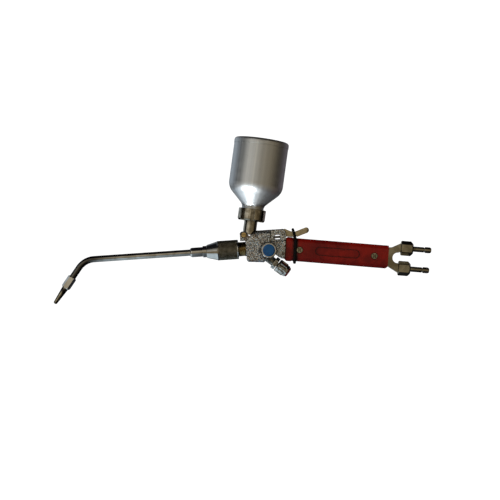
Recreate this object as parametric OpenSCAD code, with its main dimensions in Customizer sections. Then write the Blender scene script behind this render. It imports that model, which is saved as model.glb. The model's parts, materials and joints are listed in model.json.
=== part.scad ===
// Hand torch that sprays metal powder through an oxygen and fuel gas flame.
// Origin: on the handle axis, at the middle of the hand grip.
// +X runs along the handle to the hose inlets, and +Z up to the hopper.

/* [Handle] */
// Length of the handle
handle_l = 127.8; // [110:1:150]
// Height of the handle
handle_h = 28.8; // [28:0.2:32]
// Thickness of the handle across the two shells
handle_w = 21; // [20:0.5:24]
// Distance between the two handle screws
screw_span = 93.1; // [88:0.5:96]
// Radius of a handle screw's head
screw_head_r = 4.25; // [3.5:0.05:4.5]

/* [Spray tube] */
// Rise of the spray axis above the handle axis, in degrees
spray_tilt = 8.5; // [6:0.5:10]
// Outer radius of the spray tube
tube_r = 4; // [3.5:0.1:4.5]
// Bore radius of the spray tube
tube_bore_r = 2.75; // [2:0.05:3]
// Distance from the gun's centre to the corner of the tube's bend
bend_u = 229.3; // [200:1:240]
// Angle of the bend, in degrees
bend_angle = 52; // [40:1:60]
// Centre-line radius of the bend
bend_r = 25; // [20:1:30]
// Distance from the bend's corner to the end of the tip
tip_reach = 66; // [60:1:72]

/* [Union] */
// Outer radius of the union nut
union_r = 12.25; // [11.5:0.05:13]
// Radius of the union thread
union_thread_r = 9; // [8.5:0.05:9.2]
// Radius of the tube's collar
collar_r = 7.2; // [6.8:0.05:7.4]

/* [Gun body] */
// Width of the gun body
body_w = 24; // [22:0.5:26]
// Height of the gun body above the spray axis
body_top = 22; // [21:0.5:23]
// Depth of the gun body below the spray axis
body_drop = 16.5; // [15:0.5:18]

/* [Hopper] */
// Lean of the hopper towards the handle, in degrees
hopper_lean = 3.2; // [0:0.2:5]
// Outer radius of the hopper cup
cup_r = 34; // [30:0.5:36]
// Height of the closed hopper above its nut's lower face
hopper_h = 101.9; // [98:0.1:110]
// Half angle of the cup's cone, in degrees
cone_angle = 45.7; // [40:0.5:50]
// Radius of the cup's shoulder
shoulder_r = 18; // [12:1:20]
// Wall of the cup
cup_wall = 1.5; // [1.2:0.1:2]
// Radius of the hopper nut over its lobes
hopper_nut_r = 17.15; // [16.5:0.05:18]
// Height of the hopper nut
hopper_nut_h = 14.9; // [14:0.1:16]
// Number of lobes on the hopper nut
lobe_count = 8; // [6:1:10]

/* [Gas valves] */
// Angle of the fuel valve below the handle axis, in degrees
fuel_drop = 31.4; // [28:0.2:34]
// Radius of the oxygen knob
oxygen_knob_r = 9.2; // [8.8:0.1:9.6]
// Radius of the fuel knob
fuel_knob_r = 8.5; // [8:0.1:8.6]
// Number of flutes on a knob
flute_count = 10; // [8:1:16]

/* [Powder lever] */
// Distance from the lever's pivot to its link pin
link_arm = 4; // [3.8:0.1:4.2]
// Angle that the lever lifts from held down to shut, in degrees
lever_lift = 20; // [16:1:22]
// Width of the thumb pad
pad_w = 12; // [9:0.5:14]

/* [Hose inlets] */
// Height of each inlet above or below the handle axis
inlet_z = 12.6; // [12:0.1:14]
// Size of a hose nut across its flats
hose_nut_af = 16; // [15:0.5:17]
// Radius of a hose tail's stem
tail_r = 3.3; // [3:0.1:3.6]
// Radius of a hose tail's bulb
bulb_r = 3.75; // [3.5:0.05:4]

/* [Hidden] */
$fn = 64;
// Steps of one rounded corner in an extruded outline
corner_steps = 6;
// Radial clearance of a running fit
fit = 0.05;
// Gap between faces of different moving bodies
gap = 0.3;
// Gap of parts that sit tight in each other
tight = 0.01;
// Extra length of a cutting tool past the face that it cuts
over = 1;
// Size of a cutting tool that runs clear of the part
clear = 60;

// Handle
handle_x0 = -65.3;
handle_x1 = handle_x0 + handle_l;
handle_corner = 6;
lip_l = 8;
lip_h = 0.6;
screw_x = [-47.9, screw_span - 47.9];
screw_r = 1.7;
boss_r = 3.6;
insert_r = 2.6;
insert_l = 6;
head_h = 1.8;
head_dome = 0.4;
head_edge = 0.7;
cross_l = 5.6;
cross_w = 1.5;
cross_depth = 1.6;
cross_r = [1.7, 0.6];
shank_h = 20;
shank_w = 14;
shank_x1 = -54;
shank_lo = [-shank_w / 2, -shank_h / 2];
shank_corner = 3;
panel_x = [-28.6, 26.9];
panel_z = [-5, 6];
panel_depth = 1;

// Gas pipes in the handle
pipe_z = 6.8;
pipe_r = 3;
pipe_bore_r = 2;
pipe_x = [shank_x1 - 6, 56];
gas_drill_x = -78;

// Spray axis: u runs along it towards the handle and w stands on it
spray_x0 = -87.8;
front_face_u = -27;
lobe_face_u = -33.5;
lobe_w = 10;
body_corner = 7;
root_u = -14;
root_r = 6;
mix_bore_r = 2.2;
drop_u = -3.5;
drop_r = 1.5;
union_u = [-62.7, -36.3];
union_cone_u = -76;
union_cone_r = 8.2;
spigot_front_u = -50;
washer_h = 0.8;
injector_u = [-49.5, -44, -30];
injector_r = 4;
injector_jet_r = 0.8;
flange_u = spigot_front_u - washer_h - gap;
flange_r = 8.6;
flange_back_u = -60.2;
ferrule_u = [-96.8, -80.9];
ferrule_r = 6;
tube_end_u = -64;
bend_tangent = bend_r * tan(bend_angle / 2);
tip_nut_s = [26.1, 42.4];
tip_nut_l = tip_nut_s[1] - tip_nut_s[0];
tip_nut_af = 10;
tip_nut_r = 6.2;
tip_nut_cone = 2;
tip_shank_r = 3.2;
tip_r = [4.1, 2.4];
tip_bore_r = 1.2;
tube_front_s = 34;

// Hopper axis: h runs up it from the height of the handle axis
hopper_x0 = -112.8;
nut_h0 = 31.25;
nut_h1 = nut_h0 + hopper_nut_h;
neck_r = 8.3;
neck_bore_r = 4;
neck_h0 = 14;
throat_r = 3;
throat_h = 9;
notch_h = [12.3, 20];
notch_half_w = 8.2;
neck_flange_h = [36.5, 39];
neck_flange_r = 10.2;
gasket_h = 1.2;
cup_spigot_r = 10.95;
cup_spigot_h0 = neck_flange_h[1] + gasket_h + 0.05;
cup_outlet_r = 6;
outlet_cone = 2.5;
cup_spigot_l = 8;
cup_collar_r = 13.7;
// height at which the cone would meet the collar, and the flare that joins them
cup_collar_h1 = nut_h0 + 19.5;
cup_flare_r = 8;
cup_flare_h = cup_collar_h1 - cup_flare_r * tan((90 - cone_angle) / 2);
shoulder_h1 = cup_collar_h1 + 27.4;
hopper_top = nut_h0 + hopper_h;
lid_h = 8;
lid_r = cup_r + 0.3;
lid_top_t = 2;
lid_edge_r = 3.5;
rim_r = cup_r - 1;
seal_t = 1.2;
lobe_gap = 4.2;
lobe_floor_r = 13.9;
set_screw_uw = [-28.4, 17.5];
set_screw_r = 3;

// Powder valve, on an axis parallel to the spray axis
rod_w = 12.1;
pivot_uw = [20.5, rod_w + link_arm * cos(lever_lift / 2)];
link_uw = [pivot_uw[0] - link_arm * sin(lever_lift / 2), rod_w];
rod_r = 1.5;
rod_bore_r = 2.4;
chamber_r = 3.5;
chamber_u = [-26, -5];
seat_u = [-8.5, -5.5];
seat_bore_r = 2.2;
rod_travel = link_arm * lever_lift * PI / 180;
head_u = [-14, seat_u[0] - rod_travel - 1.25];
seal_u = [head_u[1], head_u[1] + 1.2];
gland_u = [1, 8];
packing_u = [-1.5, 1];
spring_u = [3.6, 9.4];
spring_r = 2.3;
spring_wire_r = 0.35;
spring_turns = 5;
pivot_pin_r = 1.5;
link_pin_r = 1;
eye_l = [2.7, 1.8];
eye_w = 2.4;
eye_h = 3.2;
slot_w = 7.2;
slot_drop = 3.2;
bracket_w = 17;
bracket_uw = [4.5, 6.5];
window_l = 7.5;
window_h = 5.2;

// Gas valves: each stands on a boss face and h runs outwards
oxygen_xz = [-86.4, -3.6];
fuel_xz = [-86.56, -12.64];
bonnet_r = 5.6;
bonnet_h = [-6, 11.6];
bonnet_foot = -5.5;
seat_h = [-14, -5];
oxygen_flange_af = 20;
oxygen_flange_h = 5;
packing_nut_af = 14;
packing_nut_h = [9.6, 14.4];
packing_r = 4;
packing_h = [4, 9];
spindle_r = 2.5;
spindle_h = [-3, 25];
needle_r = 1.2;
needle_h = [-9, -3.1];
needle_cone = 3;
knob_h = [15.2, 27];
ring_h = 3;
cap_h = 5.5;
oxygen_cap_r = 7.5;
fuel_cap_r = 6.5;
knob_screw_r = 1.2;
knob_screw_head_r = 2;
flute_r = 1.7;

// Inlets
inlet_x = [78.4, 76.8];
hose_nut_l = 15.1;
hose_nut_r = 9.4;
hose_nut_cone = 3;
fork_x0 = 51;
fork_plate_x = 68.4;
fork_gap_r = 6.5;
fork_gap_x = fork_plate_x + fork_gap_r;
fork_w = 12;
slant_x = fork_plate_x - 5.5;
slant_angle = 29;
slant_l = 12;
fork_end_r = 5.4;
fork_end_l = 8;
fork_arm = 5.8;
tail_flange_r = 4.9;
tail_flange_h = 3;
tail_tip_l = 2;
tail_bore_r = 1.8;
groove_r = 2.6;
groove_l = 1.2;
bulb_l = 8;
tail_x1 = [116.4, 115.7];

// Lever outline in the handle's frame, from the hump round the pad to the neck's lower side
pad_tip = [-41.4, 25.3];
pad_tip_r = 3.6;
pad_angle = 26;
pad_l = 13.5;
lever_w = 6.6;
lever_hub_r = 4.2;

// Rubber ring
ring_r = 1.6;

// Point in the handle's frame of a point on the spray axis's frame
function at(u, w) = [
    spray_x0 + u * cos(spray_tilt) - w * sin(spray_tilt),
    u * sin(spray_tilt) + w * cos(spray_tilt)
];
// Points of an arc about c
function arc(c, r, a0, a1, steps) = [
    for (i = [0:steps]) let (a = a0 + (a1 - a0) * i / steps) c + r * [cos(a), sin(a)]
];
// Outline of a rectangle from lo to hi with rounded corners
function rounded(lo, hi, r) = concat(
    arc([hi[0] - r, hi[1] - r], r, 0, 90, corner_steps),
    arc([lo[0] + r, hi[1] - r], r, 90, 180, corner_steps),
    arc([lo[0] + r, lo[1] + r], r, 180, 270, corner_steps),
    arc([hi[0] - r, lo[1] + r], r, 270, 360, corner_steps)
);
function unit(v) = v / norm(v);
// Rings of a round tube of radius r along the points of path
function tube_rings(path, r, sides, closed) = let (n = len(path)) [
    for (i = [0:n - 1])
        let (
            before = path[closed ? (i + n - 1) % n : max(i - 1, 0)],
            after = path[closed ? (i + 1) % n : min(i + 1, n - 1)],
            along = unit(after - before),
            side = unit(cross(along, abs(along[0]) > 0.9 ? [0, 0, 1] : [1, 0, 0])),
            up = cross(along, side)
        )
        for (k = [0:sides - 1]) path[i] + r * (side * cos(360 * k / sides) + up * sin(360 * k / sides))
];
// Solid round tube along path; a closed path joins its last ring to its first
module sweep(path, r, sides, closed = false) {
    n = len(path);
    spans = closed ? n : n - 1;
    walls = [
        for (i = [0:spans - 1])
            for (k = [0:sides - 1])
                let (j = (k + 1) % sides, a = i * sides, b = ((i + 1) % n) * sides)
                    [a + k, a + j, b + j, b + k]
    ];
    caps = closed ? [] : [
        [for (k = [sides - 1:-1:0]) k],
        [for (k = [0:sides - 1]) (n - 1) * sides + k]
    ];
    polyhedron(points = tube_rings(path, r, sides, closed), faces = concat(walls, caps), convexity = 6);
}
// Round pipe along path, open at both ends
module hollow_sweep(path, r, bore_r, sides) {
    n = len(path);
    inner = n * sides;
    walls = [
        for (i = [0:n - 2])
            for (k = [0:sides - 1])
                let (j = (k + 1) % sides, a = i * sides, b = a + sides)
                    each [
                        [a + k, a + j, b + j, b + k],
                        [inner + b + k, inner + b + j, inner + a + j, inner + a + k]
                    ]
    ];
    ends = [
        for (k = [0:sides - 1])
            let (j = (k + 1) % sides, b = (n - 1) * sides)
                each [[k, inner + k, inner + j, j], [b + j, inner + b + j, inner + b + k, b + k]]
    ];
    points = concat(tube_rings(path, r, sides, false), tube_rings(path, bore_r, sides, false));
    polyhedron(points = points, faces = concat(walls, ends), convexity = 8);
}
// Children's x runs along the spray axis and z stands on it
module spray_frame() {
    translate([spray_x0, 0, 0]) rotate([0, -spray_tilt, 0]) children();
}
// Cylinder or cone along the spray axis, at height w
module spray_rod(u, r, r2, w = 0) {
    spray_frame() translate([u[0], 0, w]) rotate([0, 90, 0])
        cylinder(h = u[1] - u[0], r1 = r, r2 = is_undef(r2) ? r : r2);
}
// Children's x runs down the front leg of the spray tube, away from the bend's corner
module front_leg() {
    spray_frame() translate([-bend_u, 0, 0]) rotate([0, 180 - bend_angle, 0]) children();
}
// Cylinder or cone along the front leg
module leg_rod(s, r, r2) {
    front_leg() translate([s[0], 0, 0]) rotate([0, 90, 0])
        cylinder(h = s[1] - s[0], r1 = r, r2 = is_undef(r2) ? r : r2);
}
// Children's z runs up the hopper axis
module hopper_frame() {
    translate([hopper_x0, 0, 0]) rotate([0, hopper_lean, 0]) children();
}
// Tube about the hopper axis
module hopper_ring(h, r, bore_r) {
    hopper_frame() difference() {
        translate([0, 0, h[0]]) cylinder(h = h[1] - h[0], r = r);
        translate([0, 0, h[0] - over]) cylinder(h = h[1] - h[0] + 2 * over, r = bore_r);
    }
}
// Children's z runs out of the oxygen valve
module oxygen_frame() {
    translate([oxygen_xz[0], -body_w / 2, oxygen_xz[1]]) rotate([90, 0, 0]) children();
}
// Children's z runs out of the fuel valve
module fuel_frame() {
    translate([fuel_xz[0], 0, fuel_xz[1]]) rotate([0, 90 + fuel_drop, 0]) children();
}
// Cylinder along the handle axis
module x_rod(x, r, z) {
    translate([x[0], 0, z]) rotate([0, 90, 0]) cylinder(h = x[1] - x[0], r = r);
}
// Cylinder across the torch at a point of the spray axis's frame
module cross_pin(uw, r, w) {
    p = at(uw[0], uw[1]);
    translate([p[0], w / 2, p[1]]) rotate([90, 0, 0]) cylinder(h = w, r = r);
}
// Outline in the handle's frame, given width across the torch
module side_plate(points, w) {
    translate([0, w / 2, 0]) rotate([90, 0, 0]) linear_extrude(w) polygon(points);
}
// Bar along x with the rounded section from lo to hi in y and z
module section_bar(x, lo, hi, r) {
    translate([x[0], 0, 0]) rotate([90, 0, 90]) linear_extrude(x[1] - x[0]) polygon(rounded(lo, hi, r));
}
// Hexagonal bar along z
module hex_bar(h, af) {
    translate([0, 0, h[0]]) cylinder(h = h[1] - h[0], r = af / sqrt(3), $fn = 6);
}
// Ring or disc about z
module ring(h, r, bore_r) {
    difference() {
        translate([0, 0, h[0]]) cylinder(h = h[1] - h[0], r = r);
        translate([0, 0, h[0] - over]) cylinder(h = h[1] - h[0] + 2 * over, r = bore_r);
    }
}

// ---- Gun body and its front union ----

module body_outline() {
    // middle of the fuel valve's boss face, and the directions out of it and along it
    boss = fuel_xz;
    out = [cos(fuel_drop), -sin(fuel_drop)];
    side = [sin(fuel_drop), cos(fuel_drop)];
    side_plate([
        at(lobe_face_u, lobe_w), at(lobe_face_u, body_top - 2), at(lobe_face_u + 2, body_top),
        at(21, body_top), at(24, body_top - 4), at(24.3, 12), [handle_x0 - gap, 12],
        [handle_x0 - gap, -12.6], boss + 15 * out + 9.2 * side, boss + 10 * out + 8.7 * side,
        boss + 8.7 * side, boss - 7.4 * side, at(-25, -body_drop), at(front_face_u, -body_drop + 2.5),
        at(front_face_u, lobe_w)
    ], body_w);
}

module gun_body() {
    color("silver") difference() {
        union() {
            intersection() {
                body_outline();
                spray_frame()
                    section_bar([-clear, clear], [-body_w / 2, -body_drop - 4], [body_w / 2, body_top],
                                body_corner);
            }
            section_bar([handle_x0 - 4, shank_x1], shank_lo, -shank_lo, shank_corner);
        }
        // steps that leave a narrower bracket for the lever
        for (y = [bracket_w / 2, -bracket_w / 2 - clear])
            spray_frame() translate([bracket_uw[0], y, bracket_uw[1]]) cube(clear);
        // slot that the lever and the rod's end move in
        spray_frame() translate([gland_u[1] + 0.4, -slot_w / 2, rod_w - slot_drop])
            cube([clear, slot_w, clear]);
        // window across the bracket
        spray_frame() translate([gland_u[1] + 1, -clear / 2, rod_w - window_h / 2])
            cube([window_l, clear, window_h]);
        cross_pin(pivot_uw, pivot_pin_r, body_w);
        // powder chamber, gland seat and rod bore
        spray_rod(chamber_u, chamber_r, w = rod_w);
        spray_rod([chamber_u[1] - over, gland_u[1] + over], rod_bore_r, w = rod_w);
        spray_rod([packing_u[0], gland_u[1] + over], chamber_r, w = rod_w);
        // powder drop into the mixing bore
        spray_frame() translate([drop_u, 0, 0]) cylinder(h = rod_w, r = drop_r);
        spray_rod([front_face_u - over, root_u], root_r);
        spray_rod([root_u - over, 0], mix_bore_r);
        // socket and bore of the hopper neck
        hopper_frame() translate([0, 0, neck_h0]) cylinder(h = clear, r = neck_r);
        hopper_frame() translate([0, 0, throat_h]) cylinder(h = neck_h0 - throat_h + over, r = throat_r);
        neck_notch();
        // set screw hole
        set_screw_hole();
        // valve seats
        oxygen_frame() valve_seat();
        fuel_frame() valve_seat();
        // pipe sockets in the shank
        for (z = [-pipe_z, pipe_z]) {
            x_rod([pipe_x[0], shank_x1 + over], pipe_r, z);
            x_rod([gas_drill_x, shank_x1], pipe_bore_r, z);
        }
    }
}

// Socket of a valve's bonnet, with the hole that the needle shuts below it
module valve_seat() {
    translate([0, 0, bonnet_h[0]]) cylinder(h = clear / 2, r = bonnet_r);
    translate([0, 0, seat_h[0]]) cylinder(h = seat_h[1] - seat_h[0], r = needle_r + 0.2);
}

// Notch through the casting's top edge, in which the neck shows
module neck_notch() {
    x = hopper_x0 + sin(hopper_lean) * notch_h[1];
    translate([0, clear / 2, 0]) rotate([90, 0, 0]) linear_extrude(clear)
        polygon([[x, notch_h[0]], [x + notch_half_w, notch_h[1]], [x - notch_half_w, notch_h[1]]]);
}

module set_screw_hole() {
    p = at(set_screw_uw[0], set_screw_uw[1]);
    translate([p[0], -body_w, p[1]]) rotate([-90, 0, 0]) cylinder(h = body_w / 2 + 5, r = set_screw_r);
}

module front_spigot() {
    color("goldenrod") difference() {
        union() {
            spray_rod([front_face_u, root_u], root_r);
            spray_rod([union_u[1] + 0.2, front_face_u], union_thread_r + 0.2);
            spray_rod([spigot_front_u, union_u[1] + 0.2], union_thread_r);
        }
        spray_rod([spigot_front_u - over, injector_u[2]], injector_r);
        spray_rod([injector_u[2] - over, root_u + over], mix_bore_r);
    }
}

module union_nut() {
    color("dimgray") difference() {
        union() {
            spray_rod(union_u, union_r);
            spray_rod([union_cone_u, union_u[0]], union_cone_r, union_r);
        }
        spray_rod([flange_back_u - gap, union_u[1] + over], union_thread_r);
        spray_rod([union_cone_u - over, 0], collar_r + fit);
    }
}

module union_washer() {
    color("sienna") difference() {
        spray_rod([spigot_front_u - washer_h, spigot_front_u], union_thread_r - 0.6);
        spray_rod([spigot_front_u - over, spigot_front_u + over], injector_r);
    }
}

module injector() {
    color("gold") difference() {
        union() {
            spray_rod([injector_u[1], injector_u[2]], injector_r);
            spray_rod([injector_u[0], injector_u[1]], injector_jet_r * 2, injector_r);
        }
        spray_rod([injector_u[0] - over, injector_u[2] + over], injector_jet_r);
    }
}

// ---- Spray tube ----

// Points of the tube's centre line, from back_u on the spray axis to front_s on the front leg
function tube_path(back_u, front_s) = let (c = [-bend_u + bend_tangent, -bend_r]) [
    for (p = concat(
            [[back_u, 0]],
            arc(c, bend_r, 90, 90 + bend_angle, 12),
            [[-bend_u - front_s * cos(bend_angle), -front_s * sin(bend_angle)]]
        ))
        [p[0], 0, p[1]]
];

module spray_tube() {
    color("gray") spray_frame() hollow_sweep(tube_path(tube_end_u, tube_front_s), tube_r, tube_bore_r, 32);
}

module tube_ferrule() {
    color("gray") difference() {
        union() {
            spray_rod([ferrule_u[0] + 2, ferrule_u[1]], ferrule_r);
            spray_rod([ferrule_u[0], ferrule_u[0] + 2], tube_r + 0.8, ferrule_r);
        }
        spray_rod([ferrule_u[0] - over, ferrule_u[1] + over], tube_r);
    }
}

module tube_collar() {
    color("gray") difference() {
        union() {
            spray_rod([ferrule_u[1], flange_back_u + over], collar_r);
            spray_rod([flange_back_u, flange_u], flange_r);
        }
        spray_rod([ferrule_u[1] - over, tube_end_u], tube_r);
        spray_rod([tube_end_u - over, flange_u + over], tube_bore_r);
    }
}

module tip_nut() {
    color("gray") difference() {
        front_leg() rotate([0, 90, 0]) intersection() {
            hex_bar(tip_nut_s, tip_nut_af);
            translate([0, 0, tip_nut_s[0]]) union() {
                cylinder(h = tip_nut_cone, r1 = 4.6, r2 = tip_nut_r);
                translate([0, 0, tip_nut_cone]) cylinder(h = tip_nut_l - 2 * tip_nut_cone, r = tip_nut_r);
                translate([0, 0, tip_nut_l - tip_nut_cone])
                    cylinder(h = tip_nut_cone, r1 = tip_nut_r, r2 = 4.9);
            }
        }
        leg_rod([tip_nut_s[0] - over, tube_front_s], tube_r);
        leg_rod([tube_front_s - over, tip_nut_s[1] + over], tip_shank_r);
    }
}

module spray_tip() {
    color("silver") difference() {
        union() {
            leg_rod([tube_front_s + 0.2, tip_nut_s[1]], tip_shank_r);
            leg_rod([tip_nut_s[1], tip_reach - 1.2], tip_r[0], tip_r[1]);
            leg_rod([tip_reach - 1.2, tip_reach], tip_r[1], tip_r[1] - 0.8);
        }
        leg_rod([tube_front_s - over, tip_reach + over], tip_bore_r);
        leg_rod([tube_front_s - over, 50], tip_bore_r + 1, tip_bore_r);
    }
}

// ---- Hopper ----

module hopper_neck() {
    color("gray") difference() {
        union() {
            hopper_frame() translate([0, 0, neck_h0]) cylinder(h = neck_flange_h[1] - neck_h0, r = neck_r);
            hopper_ring(neck_flange_h, neck_flange_r, neck_bore_r);
        }
        hopper_frame() translate([0, 0, neck_h0 - over]) cylinder(h = clear, r = neck_bore_r);
        set_screw_hole();
    }
}

module neck_set_screw() {
    p = at(set_screw_uw[0], set_screw_uw[1]);
    color("goldenrod") translate([p[0], -body_w / 2 - 0.4, p[1]]) difference() {
        rotate([-90, 0, 0]) cylinder(h = 5.2, r = set_screw_r);
        translate([-4, -over, -0.4]) cube([8, over + 1, 0.8]);
    }
}

module hopper_gasket() {
    color("black") hopper_ring([neck_flange_h[1], neck_flange_h[1] + gasket_h], neck_flange_r, 5);
}

module hopper_nut() {
    color("gray") hopper_frame() difference() {
        union() {
            translate([0, 0, nut_h0]) cylinder(h = 2, r1 = hopper_nut_r - 1.2, r2 = hopper_nut_r);
            translate([0, 0, nut_h0 + 2]) cylinder(h = hopper_nut_h - 2, r = hopper_nut_r);
        }
        for (i = [0:lobe_count - 1])
            rotate([0, 0, 360 / lobe_count * i + 4])
                translate([lobe_floor_r, -lobe_gap / 2, nut_h0 - over])
                    cube([clear, lobe_gap, hopper_nut_h + 2 * over]);
        translate([0, 0, nut_h0 - over]) cylinder(h = hopper_nut_h, r = neck_r + 0.15);
        translate([0, 0, neck_flange_h[0] - gap]) cylinder(h = hopper_nut_h, r = cup_spigot_r + fit);
    }
}

// Half section of the cup, from the axis out, offset inwards by t
function cup_outline(t) = concat(
    t > 0 ? [[0, cup_flare_h]] : [[0, cup_flare_h - 1], [cup_collar_r, nut_h1 + 0.1]],
    arc([cup_collar_r + cup_flare_r, cup_flare_h], cup_flare_r + t, 180, 90 + cone_angle, 8),
    arc([cup_r - shoulder_r, shoulder_h1], shoulder_r - t, cone_angle - 90, 0, 12)
);

module hopper_cup() {
    rim_h = hopper_top - lid_h + 0.4;
    color("lightsteelblue") hopper_frame() difference() {
        union() {
            rotate_extrude() polygon(concat(
                cup_outline(0),
                [[cup_r, rim_h], [rim_r, rim_h], [rim_r, hopper_top - lid_top_t - seal_t - fit],
                 [0, hopper_top - lid_top_t - seal_t - fit]]
            ));
            translate([0, 0, cup_spigot_h0]) cylinder(h = cup_spigot_l, r = cup_spigot_r);
        }
        rotate_extrude() polygon(concat(
            cup_outline(cup_wall),
            [[cup_r - cup_wall, rim_h - 2], [rim_r - cup_wall, rim_h], [rim_r - cup_wall, rim_h + clear],
             [0, rim_h + clear]]
        ));
        translate([0, 0, cup_spigot_h0 - over])
            cylinder(h = cup_flare_h - cup_spigot_h0, r = cup_outlet_r);
        translate([0, 0, cup_flare_h - outlet_cone])
            cylinder(h = outlet_cone + tight, r1 = cup_outlet_r, r2 = cup_collar_r - cup_wall);
    }
}

module hopper_lid() {
    h0 = hopper_top - lid_h + 0.4 + gap;
    color("silver") hopper_frame() difference() {
        rotate_extrude() polygon(concat(
            [[0, h0], [lid_r, h0]],
            arc([lid_r - lid_edge_r, hopper_top - lid_edge_r], lid_edge_r, 0, 90, 8),
            [[0, hopper_top]]
        ));
        translate([0, 0, h0 - over]) cylinder(h = hopper_top - lid_top_t - h0 + over, r = rim_r + fit);
    }
}

module lid_seal() {
    top = hopper_top - lid_top_t;
    color("black") hopper_ring([top - seal_t, top], rim_r, rim_r - 3);
}

// ---- Powder valve and lever ----

module powder_valve_seat() {
    color("goldenrod") difference() {
        spray_rod(seat_u, chamber_r, w = rod_w);
        spray_rod([seat_u[0] - over, seat_u[1] + over], seat_bore_r, w = rod_w);
    }
}

module powder_valve_rod() {
    color("white") difference() {
        union() {
            spray_rod([head_u[1] - 0.01, link_uw[0] - eye_l[0] + 0.1], rod_r, w = rod_w);
            spray_rod(head_u, 3, w = rod_w);
            spray_rod([spring_u[1] + 0.1, spring_u[1] + 1], 2.7, w = rod_w);
            spray_frame() translate([link_uw[0] - eye_l[0], -eye_w / 2, rod_w - eye_h / 2])
                cube([eye_l[0] + eye_l[1], eye_w, eye_h]);
        }
        spray_frame() translate([link_uw[0], 0, link_uw[1]]) link_slot();
    }
}

// Hole in the rod's eye, a little taller than the link pin so that the pin can swing
module link_slot() {
    for (z = [-0.1, 0.1])
        translate([0, 5, z]) rotate([90, 0, 0]) cylinder(h = 10, r = link_pin_r + 0.08);
}

module powder_valve_seal() {
    color("black") difference() {
        spray_rod(seal_u, 3.1, w = rod_w);
        spray_rod([seal_u[0] - over, seal_u[1] + over], rod_r, w = rod_w);
    }
}

module rod_packing() {
    color("white") difference() {
        spray_rod(packing_u, chamber_r, w = rod_w);
        spray_rod([packing_u[0] - over, packing_u[1] + over], rod_r + fit, w = rod_w);
    }
}

module rod_gland() {
    color("goldenrod") difference() {
        spray_rod(gland_u, chamber_r, w = rod_w);
        spray_rod([gland_u[0] - over, gland_u[1] + over], rod_r + fit, w = rod_w);
        spray_rod([spring_u[0], gland_u[1] + over], 2.9, w = rod_w);
    }
}

module rod_spring() {
    steps = 14;
    pitch = (spring_u[1] - spring_u[0] - 2 * spring_wire_r - 0.1) / spring_turns;
    color("silver") spray_frame() translate([spring_u[0] + spring_wire_r + 0.05, 0, rod_w])
        sweep([
            for (i = [0:spring_turns * steps])
                let (a = 360 * i / steps) [pitch * i / steps, spring_r * cos(a), spring_r * sin(a)]
        ], spring_wire_r, 8);
}

module powder_lever() {
    pivot = at(pivot_uw[0], pivot_uw[1]);
    link = at(link_uw[0], link_uw[1]);
    along = [cos(pad_angle), sin(pad_angle)];
    side = [-sin(pad_angle), cos(pad_angle)];
    pad_back = pad_tip - pad_l * along;
    color("tan") difference() {
        union() {
            side_plate(concat(
                arc(pivot, lever_hub_r, 190, 130, 4),
                [[-68.6, 25.2], [-60.4, 22.4], pad_back + 3.4 * side, pad_back + 5 * along - 3.4 * side,
                 [-53.5, 16.9], [-58.5, 15.3], [-64.4, 15.3]],
                arc(pivot, lever_hub_r, 300, 240, 4)
            ), lever_w);
            side_plate([pivot + [-3.6, -1], pivot + [2.4, -2.2], link + [1.9, -1.2], link + [0.6, -2.1],
                        link + [-1.4, -1.7], link + [-2.1, 0]], lever_w);
            intersection() {
                side_plate(concat(
                    arc(pad_tip, pad_tip_r, pad_angle + 90, pad_angle - 90, 8),
                    [pad_back - pad_tip_r * side, pad_back - 1.5 * along, pad_back + pad_tip_r * side]
                ), pad_w);
                translate([pad_tip[0] - 15, 0, 0]) linear_extrude(50)
                    polygon(rounded([-8, -pad_w / 2], [15 + pad_tip_r, pad_w / 2], 4));
            }
        }
        cross_pin(pivot_uw, pivot_pin_r + fit, 30);
        // fork that the rod's eye sits in
        spray_frame() translate([link_uw[0], 0, link_uw[1]]) rotate([0, lever_lift / 2, 0])
            translate([-10, -eye_w / 2 - 0.4, -8]) cube([20, eye_w + 0.8, 10.15]);
        cross_pin(link_uw, link_pin_r, 30);
    }
}

module lever_pivot_pin() {
    color("silver") cross_pin(pivot_uw, pivot_pin_r, bracket_w);
}

module lever_link_pin() {
    color("silver") cross_pin(link_uw, link_pin_r, lever_w);
}

// Rubber ring round the handle that holds the lever's neck down
module retaining_ring() {
    side_y = handle_w / 2 + ring_r + 0.1;
    top_z = handle_h / 2 + ring_r + 0.1;
    crown_z = 25;
    corner = 4.5;
    half = concat(
        [[0, crown_z], [2.6, crown_z - 0.1], [4.4, crown_z - 1.2]],
        [[side_y - 3.4, top_z + 1.6], [side_y - 1.1, top_z - 1.4]],
        [[side_y, top_z - 5], [side_y, 4], [side_y, -6]],
        arc([side_y - corner, -top_z + corner], corner, 0, -90, 4),
        [[0, -top_z]]
    );
    loop = concat(half, [for (i = [len(half) - 2:-1:1]) [-half[i][0], half[i][1]]]);
    color("black") sweep([for (p = loop) [ring_x(p[1]), p[0], p[1]]], ring_r, 8, closed = true);
}
// The ring leans: its place along the handle at height z
function ring_x(z) = z > 13 ? -54 - (z - 13) * 0.34 : -54 - (z - 13) * 0.045;

// ---- Gas valves, the same in both places ----

module valve_bonnet(flange_af, flange_h) {
    difference() {
        union() {
            translate([0, 0, bonnet_foot]) cylinder(h = bonnet_h[1] - bonnet_foot, r = bonnet_r);
            if (flange_h > 0)
                hex_bar([0, flange_h], flange_af);
        }
        translate([0, 0, bonnet_h[0] - over]) cylinder(h = clear, r = spindle_r + fit);
        translate([0, 0, packing_h[0]]) cylinder(h = clear, r = packing_r);
    }
}

module valve_packing_nut() {
    difference() {
        hex_bar(packing_nut_h, packing_nut_af);
        translate([0, 0, packing_nut_h[0] - over])
            cylinder(h = bonnet_h[1] - packing_nut_h[0] + over, r = bonnet_r);
        translate([0, 0, packing_nut_h[0]]) cylinder(h = clear, r = spindle_r + fit);
    }
}

module valve_packing() {
    ring(packing_h, packing_r, spindle_r + fit);
}

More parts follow.
